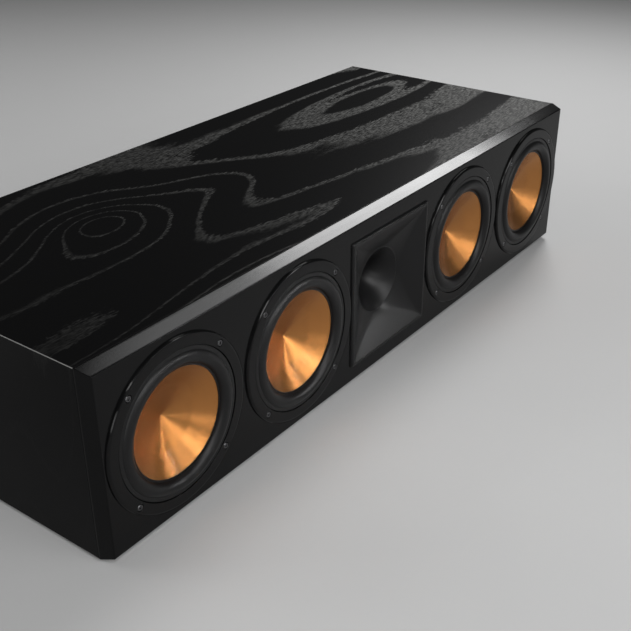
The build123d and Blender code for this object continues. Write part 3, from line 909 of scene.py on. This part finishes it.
@dataclass
class Woofer:
    """One woofer: its frame, surround, cone, dust cap and motor."""

    dresser: Dresser
    number: int
    flange_proud: float = 3.0 * MM
    lip_outer: float = 81.5 * MM
    lip_inner: float = 77.2 * MM
    lip_front: float = -2.2 * MM
    lip_edge: float = 0.5 * MM
    roll_inner: float = 62.0 * MM
    roll_rise: float = 4.83 * MM
    roll_thickness: float = 1.2 * MM
    cone_radius: float = 60.0 * MM
    cone_front: float = 2.0 * MM
    cone_rim: float = 63.5 * MM
    cone_neck: float = 16.5 * MM
    cone_neck_depth: float = 29.5 * MM
    cone_bow: float = 0.5 * MM
    sheet: float = 0.8 * MM
    cap_radius: float = 38.0 * MM
    cap_edge_depth: float = 16.3 * MM
    cap_apex_depth: float = 25.1 * MM
    flange_round: float = 1.7 * MM
    frame_easing: float = 0.5 * MM
    flange_inner: float = 94.0 * MM
    inner_lip: float = 1.0 * MM
    cap_tip: float = 1.5 * MM
    cap_tip_depth: float = 0.3 * MM
    roll_steps: int = 32
    underside_steps: int = 24
    lip_steps: int = 4
    cone_steps: int = 24
    prefix: str = field(init=False)
    moving: str = field(init=False)
    centre: Vector = field(init=False)

    def __post_init__(self) -> None:
        """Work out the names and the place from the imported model."""
        self.prefix = f"woofer_{self.number}"
        self.moving = f"{self.prefix}_moving"
        low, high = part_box(f"{self.prefix}_basket")
        self.centre = on_axis(low, high, low.y + self.flange_proud)

    def build(self) -> list[bpy.types.Object]:
        """Make the pieces that show, and dress those inside.

        Returns:
            The new pieces.
        """
        hidden = {
            "voice_coil": COIL_WIRE,
            "spider": SPIDER_CLOTH,
            "top_plate": ZINC_STEEL,
            "magnet": FERRITE,
            "yoke": ZINC_STEEL,
        }
        for node, finish in hidden.items():
            self.dresser.paint_node(f"{self.prefix}_{node}", finish)
        return [self.basket(), self.surround(), self.cone(), self.dust_cap()]

    def basket(self) -> bpy.types.Object:
        """The cast frame, with its flange well rounded at the outer edge.

        Returns:
            The frame piece.
        """

        def share(place: Vector) -> float:
            """Full rounding on the front edge of the flange, a slight easing elsewhere."""
            far = math.hypot(place.x - self.centre.x, place.z - self.centre.z)
            front = place.y < self.centre.y - self.flange_proud / 2
            return 1.0 if front and far > self.flange_inner else self.frame_easing / self.flange_round

        node = f"{self.prefix}_basket"
        piece = eased_copy(node, f"{self.prefix}_cast_frame", self.flange_round, share=share)
        self.dresser.paint(piece, CAST_COAT)
        return seat(piece, Body.CABINET.value, "basket_cast", node)

    def surround(self) -> bpy.types.Object:
        """The rubber half roll, turned about the woofer's axis.

        Returns:
            The roll piece, baked in place and attached to no body.
        """
        inner_front = self.cone_front - self.inner_lip
        outer_start, inner_end = (self.lip_inner, self.lip_front), (self.roll_inner, inner_front)
        roll = bulge(outer_start, inner_end, self.roll_rise, self.roll_steps)
        thick = self.roll_thickness
        inner_start, outer_end = (self.roll_inner + thick, self.cone_front), (self.lip_inner - thick, 0.0)
        underside = bulge(inner_start, outer_end, -self.roll_rise, self.underside_steps)
        edge = self.lip_edge
        lip = arc((self.lip_outer - edge, self.lip_front + edge), edge, 0, -90, self.lip_steps)
        inner = [(self.cone_radius, inner_front), (self.cone_radius, self.cone_front)]
        profile = [(self.lip_outer, 0.0), *lip, *roll, *inner, *underside]
        piece = lathe(f"{self.prefix}_half_roll", profile, self.centre)
        self.dresser.paint(piece, RUBBER)
        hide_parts(f"{self.prefix}_surround")
        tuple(self.centre)
        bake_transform(piece)
        self.weigh(piece)
        return piece

    def weigh(self, piece: bpy.types.Object) -> None:
        """Work out each point's share between the lip and the cone from its distance to the axis; the share
        is not kept.
        """
        for item in piece.data.attributes["radius"].data:
            share = (self.lip_inner - item.value) / (self.lip_inner - self.roll_inner)
            share = min(max(share, 0.0), 1.0)

    def cone(self) -> bpy.types.Object:
        """The spun cone, with a flat rim under the surround.

        Returns:
            The cone piece.
        """
        node = f"{self.prefix}_cone"
        edge, neck = (self.cone_radius, self.cone_front), (self.cone_neck, self.cone_neck_depth)
        face = bulge(edge, neck, -self.cone_bow, self.cone_steps)
        back = [(radius, depth + self.sheet) for radius, depth in reversed(face)]
        rim = [(self.cone_rim, self.cone_front + self.sheet), (self.cone_rim, self.cone_front)]
        piece = lathe(f"{self.prefix}_spun_cone", [*face, *back, *rim], self.centre)
        self.dresser.paint(piece, COPPER_CONE)
        return seat(piece, self.moving, "cone_metal", node)

    def dust_cap(self) -> bpy.types.Object:
        """The dished cap in the middle of the cone.

        Returns:
            The cap piece.
        """
        node = f"{self.prefix}_dust_cap"
        edge, apex = self.cap_edge_depth, self.cap_apex_depth
        front = [(self.cap_radius, edge), (self.cap_tip, apex - self.cap_tip_depth), (0.0, apex)]
        back = [(0.0, apex + self.sheet), (self.cap_radius, edge + self.sheet)]
        piece = lathe(f"{self.prefix}_dished_cap", [*front, *back], self.centre)
        self.dresser.paint(piece, COPPER_CAP)
        return seat(piece, self.moving, "cone_metal", node)


@dataclass
class HornTweeter:
    """The square-mouthed horn and the compression driver behind it."""

    dresser: Dresser
    proud: float = 3.0 * MM
    side: float = 83.4 * MM
    corner: float = 2.0 * MM
    edge_round: float = 2.9 * MM
    rim: float = 4.6 * MM
    mouth_corner: float = 2.5 * MM
    flare_power: float = 1.2
    crease_power: float = 1.8
    flare_steps: int = 28
    bell_radius: float = 43.0 * MM
    bell_depth: float = 17.0 * MM
    bell_lip: float = 0.8 * MM
    throat_radius: float = 12.7 * MM
    throat_depth: float = 75.0 * MM
    throat_bend: float = 7.0 * MM
    wall: float = 3.5 * MM
    body: float = 76.4 * MM
    body_corner: float = 9.0 * MM
    flange_radius: float = 38.0 * MM
    flange_thickness: float = 6.0 * MM
    octant_steps: int = 20
    step_power: float = 1.2
    edge_steps: int = 5
    throat_steps: int = 28
    sharp: float = 28.0

    def build(self) -> list[bpy.types.Object]:
        """Make the horn and dress its driver.

        Returns:
            The new pieces.
        """
        self.dresser.paint_node("tweeter_front_plate", TURNED_ALLOY)
        self.dresser.paint_node("tweeter_diaphragm", DOME_FOIL)
        self.dresser.paint_node("tweeter_magnet", FERRITE)
        self.dresser.paint_node("tweeter_rear_cover", HORN_PLASTIC)
        return [self.horn()]

    def outline(self, half: float, corner: float) -> list[tuple[float, float]]:
        """Points of a rounded square, the same number for every size.

        Args:
            half: half its side.
            corner: radius of its corners; half the side gives a circle.

        Returns:
            Width and height of each point, closer together towards the corners.
        """
        points = []
        inset = half - corner
        for octant in range(8):
            for step in range(self.octant_steps):
                share = step / self.octant_steps
                share = share if octant % 2 == 0 else 1 - share
                turn = math.radians(45.0) * (1 - (1 - share) ** 2)
                along, up = half, half * math.tan(turn)
                if up > inset:
                    lean = inset * (math.cos(turn) + math.sin(turn))
                    reach = lean + math.sqrt(max(lean * lean - 2 * inset * inset + corner * corner, 0.0))
                    along, up = reach * math.cos(turn), reach * math.sin(turn)
                quarter = (octant + 1) // 2 * math.radians(90.0)
                up = up if octant % 2 == 0 else -up
                cos, sin = math.cos(quarter), math.sin(quarter)
                points.append((along * cos - up * sin, along * sin + up * cos))
        return points

    def sections(self) -> list[tuple[float, float, float]]:
        """Half side, corner radius and depth of each ring, from the back of the plate round to the back.

        Returns:
            The rings of the closed shell.
        """
        rings = [(self.side, self.corner, 0.0)]
        round_centre = (self.side - self.edge_round, -self.proud + self.edge_round)
        for half, depth in arc(round_centre, self.edge_round, 0, -90, self.edge_steps):
            rings.append((half, self.corner, depth))
        mouth = self.side - self.rim
        for step in range(self.flare_steps + 1):
            share = (step / self.flare_steps) ** self.step_power
            half = self.bell_radius + (mouth - self.bell_radius) * (1 - share) ** self.flare_power
            way = (mouth - half) / (mouth - self.bell_radius)
            corner = self.mouth_corner + (self.bell_radius - self.mouth_corner) * way**self.crease_power
            rings.append((half, min(corner, half), -self.proud + (self.bell_depth + self.proud) * share))
        bell = (self.bell_radius - self.bell_lip, self.bell_depth)
        throat = (self.throat_radius, self.throat_depth)
        for radius, depth in bulge(bell, throat, self.throat_bend, self.throat_steps):
            rings.append((radius, radius, depth))
        front = self.throat_depth - self.flange_thickness
        neck = self.throat_radius + 2 * self.wall
        shell = self.bell_radius + self.wall
        for radius, depth in (
            (self.flange_radius, self.throat_depth),
            (self.flange_radius, front),
            (neck, front),
            (shell, self.bell_depth + self.wall),
        ):
            rings.append((radius, radius, depth))
        rings.append((self.body, self.body_corner, 0.0))
        return rings

    def horn(self) -> bpy.types.Object:
        """The moulded horn, skinned over its rings.

        Returns:
            The horn piece.
        """
        low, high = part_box("horn")
        centre = on_axis(low, high, low.y + self.proud)
        shape = bmesh.new()
        loops = []
        for half, corner, depth in self.sections():
            points = self.outline(half, corner)
            loops.append([shape.verts.new((centre.x + x, centre.y + depth, centre.z + z)) for x, z in points])
        skin_over(shape, loops)
        piece = piece_from("moulded_horn", shape, self.sharp)
        self.dresser.paint(piece, HORN_PLASTIC)
        return seat(piece, Body.CABINET.value, "horn_plastic", "horn")


@dataclass
class Ports:
    """The two flared bass ports in the rear panel."""

    dresser: Dresser
    bore: float = 31.0 * MM
    wall: float = 2.5 * MM
    flare: float = 14.0 * MM
    rim: float = 7.0 * MM
    rim_thickness: float = 3.0 * MM
    rim_edge: float = 1.0 * MM
    flare_steps: int = 16
    edge_steps: int = 5
    segments: int = 128

    def build(self) -> list[bpy.types.Object]:
        """Make both ports.

        Returns:
            The new pieces.
        """
        return [self.port(side) for side in ("left", "right")]

    def port(self, side: str) -> bpy.types.Object:
        """One port, turned about its axis.

        Args:
            side: left or right, as in the node's name.

        Returns:
            The port piece.
        """
        low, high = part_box(f"port_{side}")
        centre = on_axis(low, high, high.y)
        length = high.y - low.y
        mouth = self.bore + self.flare
        outer = mouth + self.rim
        seat_depth = -self.rim_thickness
        flare = arc((mouth, -self.flare), self.flare, 180, 90, self.flare_steps)
        edge = arc((outer - self.rim_edge, -self.rim_edge), self.rim_edge, 90, 0, self.edge_steps)
        back = arc((mouth + self.wall, seat_depth - self.flare), self.flare, 90, 180, self.flare_steps)
        tube = [(self.bore + self.wall, -length), (self.bore, -length)]
        profile = [*flare, *edge, (outer, seat_depth), *back, *tube]
        piece = lathe(f"port_{side}_flare", profile, centre, self.segments)
        self.dresser.paint(piece, PORT_PLASTIC)
        return seat(piece, Body.CABINET.value, "port_plastic", f"port_{side}")


@dataclass
class Terminals:
    """The terminal cup with its two binding posts."""

    dresser: Dresser
    cap_radius: float = 7.5 * MM
    rib_radius: float = 0.9 * MM
    rib_count: int = 12
    cap_edge: float = 0.8 * MM
    bore: float = 4.16 * MM
    collar: float = 2.0 * MM
    collar_edge: float = 0.3 * MM
    rib_start: float = 2.6 * MM
    rib_sides: int = 12
    edge_steps: int = 6
    segments: int = 96
    easing: float = 0.2 * MM

    def build(self) -> list[bpy.types.Object]:
        """Make the cup, the posts and their caps.

        Returns:
            The new pieces.
        """
        plain = (
            ("terminal_cup", "moulded_cup", CUP_PLASTIC, "cup_plastic", Body.CABINET.value),
            ("binding_posts", "plated_posts", GOLD_PLATING, "post_plating", Body.CABINET.value),
            ("post_left_washer", "left_clamp_washer", GOLD_PLATING, "post_plating", Body.LEFT_CLAMP.value),
            ("post_right_washer", "right_clamp_washer", GOLD_PLATING, "post_plating", Body.RIGHT_CLAMP.value),
        )
        pieces = []
        for node, name, finish, slot, body in plain:
            piece = eased_copy(node, name, self.easing)
            self.dresser.paint(piece, finish)
            pieces.append(seat(piece, body, slot, node))
        pieces.append(self.cap("left", RED_CAP, "cap_red", Body.LEFT_KNOB))
        pieces.append(self.cap("right", BLACK_CAP, "cap_black", Body.RIGHT_KNOB))
        return pieces

    def ribs(self, finish: Finish) -> Pattern:
        """The rule that sets grip ribs around a cap.

        Args:
            finish: what the cap is made of.

        Returns:
            The pattern, with its sizes as named inputs.
        """
        rule = Pattern(f"{finish.name}_ribs")
        tree = rule.tree
        count = rule.size("Rib count", "NodeSocketInt")
        circle = rule.size("Circle radius")
        radius = rule.size("Rib radius")
        length = rule.size("Rib length")
        place = rule.size("Place", "NodeSocketVector")
        spots = tree.add("GeometryNodeMeshCircle", inputs={"Vertices": count, "Radius": circle})
        bar = {"Vertices": self.rib_sides, "Radius": radius, "Depth": length}
        rib = tree.add("GeometryNodeMeshCylinder", inputs=bar)
        ring = tree.add("GeometryNodeInstanceOnPoints", inputs={"Points": spots, "Instance": rib})
        turn = {"Geometry": ring, "Translation": place, "Rotation": Euler((math.radians(90.0), 0.0, 0.0))}
        turned = tree.add("GeometryNodeTransform", inputs=turn)
        rule.end(rule.join(rule.given(), turned), self.dresser.material(finish))
        return rule

    def cap(self, side: str, finish: Finish, slot: str, body: Body) -> bpy.types.Object:
        """One ribbed cap.

        Args:
            side: left or right, as in the node's name.
            finish: what the cap is made of.
            slot: not used; it is only handed on to seat, which ignores it.
            body: the knob that carries it.

        Returns:
            The cap piece.
        """
        node = f"post_{side}_cap"
        low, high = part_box(node)
        centre = on_axis(low, high, low.y)
        length = high.y - low.y
        barrel = self.cap_radius - self.rib_radius
        edge = self.cap_edge
        profile = [
            (self.bore, 0.0),
            (self.cap_radius - self.collar_edge, 0.0),
            (self.cap_radius, self.collar_edge),
            (self.cap_radius, self.collar),
            (barrel, self.rib_start),
            *arc((barrel - edge, length - edge), edge, 0, 90, self.edge_steps),
            *arc((self.bore + edge, length - edge), edge, 90, 180, self.edge_steps),
        ]
        piece = lathe(f"post_{side}_ribbed_cap", profile, centre, self.segments)
        self.dresser.paint(piece, finish)
        rib_length = length - self.rib_start - 2 * edge
        values = {
            "Rib count": self.rib_count,
            "Circle radius": barrel,
            "Rib radius": self.rib_radius,
            "Rib length": rib_length,
            "Place": centre + Vector((0.0, self.rib_start + rib_length / 2, 0.0)),
        }
        self.ribs(finish).run(piece, values)
        return seat(piece, body.value, slot, node)


@dataclass
class Screws:
    """The socket-head wood screws of the woofers and the terminal cup."""

    dresser: Dresser
    circle: float = 88.7 * MM
    per_woofer: int = 4
    first_angle: float = 45.0
    head_radius: float = 3.5 * MM
    head_height: float = 1.6 * MM
    chamfer: float = 0.45 * MM
    socket_radius: float = 1.75 * MM
    socket_depth: float = 1.0 * MM
    shank_radius: float = 2.0 * MM
    shank_length: float = 15.5 * MM
    flange_seat: float = 1.2 * MM
    cup_seat: float = 1.8 * MM
    cup_flange: float = 14.0 * MM
    head_sides: int = 40
    socket_sides: int = 6
    shank_sides: int = 16

    def places(self) -> list[tuple[Vector, Facing]]:
        """Where the underside of each head sits, and which way the head looks.

        Returns:
            A place and a direction for each screw.
        """
        spots = []
        for number in WOOFERS:
            low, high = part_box(f"woofer_{number}_basket")
            depth = low.y + Woofer.flange_proud - self.flange_seat
            for step in range(self.per_woofer):
                turn = math.radians(self.first_angle + 360.0 * step / self.per_woofer)
                x = (low.x + high.x) / 2 + self.circle * math.cos(turn)
                z = (low.z + high.z) / 2 + self.circle * math.sin(turn)
                spots.append((Vector((x, depth, z)), Facing.FRONT))
        low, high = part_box("terminal_cup")
        inset = self.cup_flange / 2
        for x in (low.x + inset, high.x - inset):
            for z in (low.z + inset, high.z - inset):
                spots.append((Vector((x, high.y - self.cup_seat, z)), Facing.BACK))
        return spots

    def rule(self) -> Pattern:
        """The tree that sets one screw on each point.

        Returns:
            The pattern, with the sizes of a screw as named inputs.
        """
        rule = Pattern("socket_screws")
        tree = rule.tree
        radius = rule.size("Head radius")
        height = rule.size("Head height")
        chamfer = rule.size("Chamfer")
        socket = rule.size("Socket radius")
        deep = rule.size("Socket depth")
        shank = rule.size("Shank radius")
        length = rule.size("Shank length")
        side = height - chamfer
        body = {"Vertices": self.head_sides, "Radius": radius, "Depth": side}
        drum = self.lifted(tree, tree.add("GeometryNodeMeshCylinder", inputs=body), side / 2)
        top = {"Radius Top": radius - chamfer, "Radius Bottom": radius, "Depth": chamfer}
        cone = tree.add("GeometryNodeMeshCone", inputs={"Vertices": self.head_sides} | top)
        crown = self.lifted(tree, cone, side)
        hexagon = {"Vertices": self.socket_sides, "Radius": socket, "Depth": deep * 2}
        recess = self.lifted(tree, tree.add("GeometryNodeMeshCylinder", inputs=hexagon), height)
        solid = tree.add("GeometryNodeMeshBoolean", {"operation": "UNION"}, {"Mesh 2": drum})
        tree.feed(solid.socket.node.inputs["Mesh 2"], crown)
        cut = {"Mesh 1": solid, "Mesh 2": recess}
        head = tree.add("GeometryNodeMeshBoolean", {"operation": "DIFFERENCE"}, cut)
        rod = {"Vertices": self.shank_sides, "Radius": shank, "Depth": length}
        stem = self.lifted(tree, tree.add("GeometryNodeMeshCylinder", inputs=rod), length * -0.5)
        stored = {"data_type": "FLOAT_VECTOR"}
        facing = tree.add("GeometryNodeInputNamedAttribute", stored, {"Name": "facing"})
        turn = tree.add("FunctionNodeAlignRotationToVector", {"axis": "Z"}, {"Vector": facing})
        values = {"Points": rule.given(), "Instance": rule.join(head, stem), "Rotation": turn}
        screws = tree.add("GeometryNodeInstanceOnPoints", inputs=values)
        rule.end(screws, self.dresser.material(BLACK_OXIDE))
        return rule

    @staticmethod
    def lifted(tree: Tree, shape: Term, rise: Operand) -> Term:
        """Move a geometry along its own Z."""
        values = {"Geometry": shape, "Translation": tree.vector(0.0, 0.0, rise)}
        return tree.add("GeometryNodeTransform", inputs=values)

    def build(self) -> list[bpy.types.Object]:
        """Make all screws as one piece.

        Returns:
            The new piece in a list.
        """
        spots = self.places()
        mesh = bpy.data.meshes.new("socket_screws")
        mesh.from_pydata([place for place, _ in spots], [], [])
        facing = mesh.attributes.new("facing", "FLOAT_VECTOR", "POINT")
        for item, (_, way) in zip(facing.data, spots):
            item.vector = way.value
        piece = bpy.data.objects.new("socket_screws", mesh)
        bpy.context.scene.collection.objects.link(piece)
        values = {
            "Head radius": self.head_radius,
            "Head height": self.head_height,
            "Chamfer": self.chamfer,
            "Socket radius": self.socket_radius,
            "Socket depth": self.socket_depth,
            "Shank radius": self.shank_radius,
            "Shank length": self.shank_length,
        }
        self.rule().run(piece, values)
        return [seat(piece, Body.CABINET.value, "screw_black", "panel_screws")]


@dataclass
class Crossover:
    """The board inside, with what is soldered to it."""

    dresser: Dresser

    def build(self) -> list[bpy.types.Object]:
        """Dress the nodes of the crossover.

        Returns:
            An empty list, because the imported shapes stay.
        """
        finishes = {
            "crossover_board": LAMINATE,
            "crossover_coils": COIL_WIRE,
            "crossover_capacitors": FILM,
            "crossover_resistors": CERAMIC,
        }
        for node, finish in finishes.items():
            self.dresser.paint_node(node, finish)
        return []


@dataclass
class Lamp:
    """One soft box."""

    name: str
    place: tuple[float, float, float]
    aim: tuple[float, float, float]
    width: float
    height: float
    power: float
    spread: float = 180.0

    def hang(self) -> None:
        """Add the lamp to the scene."""
        data = bpy.data.lights.new(self.name, "AREA")
        data.shape = "RECTANGLE"
        data.size = self.width
        data.size_y = self.height
        data.energy = self.power
        data.spread = math.radians(self.spread)
        lamp = bpy.data.objects.new(self.name, data)
        lamp.visible_camera = False
        lamp.location = self.place
        lamp.rotation_euler = (Vector(self.aim) - Vector(self.place)).to_track_quat("-Z", "Y").to_euler()
        bpy.context.scene.collection.objects.link(lamp)


@dataclass
class Studio:
    """Floor, light and camera."""

    dresser: Dresser
    floor_half: float = 9.0
    sky: float = 0.05
    camera_place: tuple[float, float, float] = (-0.9491, -0.78585, 0.6768)
    camera_azimuth: float = -53.29
    camera_elevation: float = 28.69
    camera_roll: float = -0.23
    focal_pixels: float = 1001.6
    far_clip: float = 100.0
    lamps: tuple[Lamp, ...] = (
        Lamp("key_softbox", (1.631, 0.25, 1.5), (-0.1, -0.15, 0.15), 0.6, 0.75, 28.5),
        Lamp("high_softbox", (1.17, 0.14, 2.02), (-0.1, -0.15, 0.15), 0.8, 0.6, 9.0),
        Lamp("rim_softbox", (-1.5, 1.6, 1.55), (-0.2, 0.0, 0.15), 0.9, 0.9, 8.5),
        Lamp("front_panel", (0.25, -1.95, 0.52), (0.05, -0.1, 0.12), 2.4, 0.8, 7.0),
        Lamp("front_strip", (0.09, -1.9, 0.42), (-0.16, -0.19, 0.11), 0.12, 0.5, 0.04, 12.0),
        Lamp("top_strip", (-0.3, -1.85, 1.15), (-0.1, -0.19, 0.12), 1.6, 0.4, 19.0),
        Lamp("side_softbox", (-1.86, -1.39, 0.45), (-0.3, -0.19, 0.12), 0.7, 0.6, 7.0),
        Lamp("back_softbox", (-0.5, 2.3, 0.95), (0.0, 0.2, 0.1), 1.7, 0.8, 14.0),
        Lamp("near_grid", (0.36, -1.82, 0.46), (-0.165, -0.19, 0.105), 0.3, 0.4, 0.045, 11.0),
        Lamp("far_grid", (1.0, -1.63, 0.5), (-0.175, -0.19, 0.1), 0.4, 0.4, 0.14, 11.0),
        Lamp("left_softbox", (-1.62, -1.215, 1.42), (-0.35, -0.19, 0.12), 0.5, 0.5, 11.0),
        Lamp("upper_softbox", (-1.0, -1.4, 1.85), (0.0, -0.19, 0.12), 0.6, 0.6, 15.0),
    )

    def build(self) -> None:
        """Set up everything around the object."""
        self.lay_floor()
        self.set_world()
        for lamp in self.lamps:
            lamp.hang()
        self.set_camera()
        bpy.context.scene.view_settings.view_transform = "Standard"

    def lay_floor(self) -> None:
        """The plain pale floor."""
        shape = bmesh.new()
        bmesh.ops.create_grid(shape, x_segments=1, y_segments=1, size=self.floor_half)
        floor = piece_from("studio_floor", shape)
        self.dresser.paint(floor, FLOOR)
        floor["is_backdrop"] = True

    def set_world(self) -> None:
        """The even light from all round."""
        world = bpy.data.worlds.new("studio_world")
        world.use_nodes = True
        background = world.node_tree.nodes["Background"]
        background.inputs["Color"].default_value = (1.0, 1.0, 1.0, 1.0)
        background.inputs["Strength"].default_value = self.sky
        bpy.context.scene.world = world

    def set_camera(self) -> None:
        """The camera at the photograph's viewing angle."""
        turn, dip = math.radians(self.camera_azimuth), math.radians(self.camera_elevation)
        ahead = Vector((-math.sin(turn) * math.cos(dip), math.cos(turn) * math.cos(dip), -math.sin(dip)))
        level = ahead.to_track_quat("-Z", "Y").to_matrix().to_4x4()
        data = bpy.data.cameras.new("photo_camera")
        data.sensor_width = SENSOR_WIDTH
        data.lens = SENSOR_WIDTH * self.focal_pixels / PHOTO_SIDE
        data.clip_end = self.far_clip
        camera = bpy.data.objects.new("photo_camera", data)
        roll = Matrix.Rotation(math.radians(self.camera_roll), 4, "Z")
        camera.matrix_world = Matrix.Translation(self.camera_place) @ level @ roll
        bpy.context.scene.collection.objects.link(camera)
        bpy.context.scene.camera = camera


def write_sizes() -> None:
    """Work out the box of the solids and the box of the dressed object as plain lists; nothing is written."""
    boxes = {"cad": CAD_BOX, "visual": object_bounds()}
    plain = {name: [list(corner) for corner in box] for name, box in boxes.items()}


def main() -> None:
    """Build the object, then the studio around it."""
    logging.basicConfig(level=logging.INFO, format="%(name)s: %(message)s")
    dresser = Dresser()
    assemblies = [
        Cabinet(dresser),
        *(Woofer(dresser, number) for number in WOOFERS),
        HornTweeter(dresser),
        Ports(dresser),
        Terminals(dresser),
        Screws(dresser),
        Crossover(dresser),
    ]
    for assembly in assemblies:
        for piece in assembly.build():
            log.info("%s: %d faces", piece.name, len(piece.data.polygons))
    Studio(dresser).build()
    write_sizes()


if __name__ == "__main__":
    main()
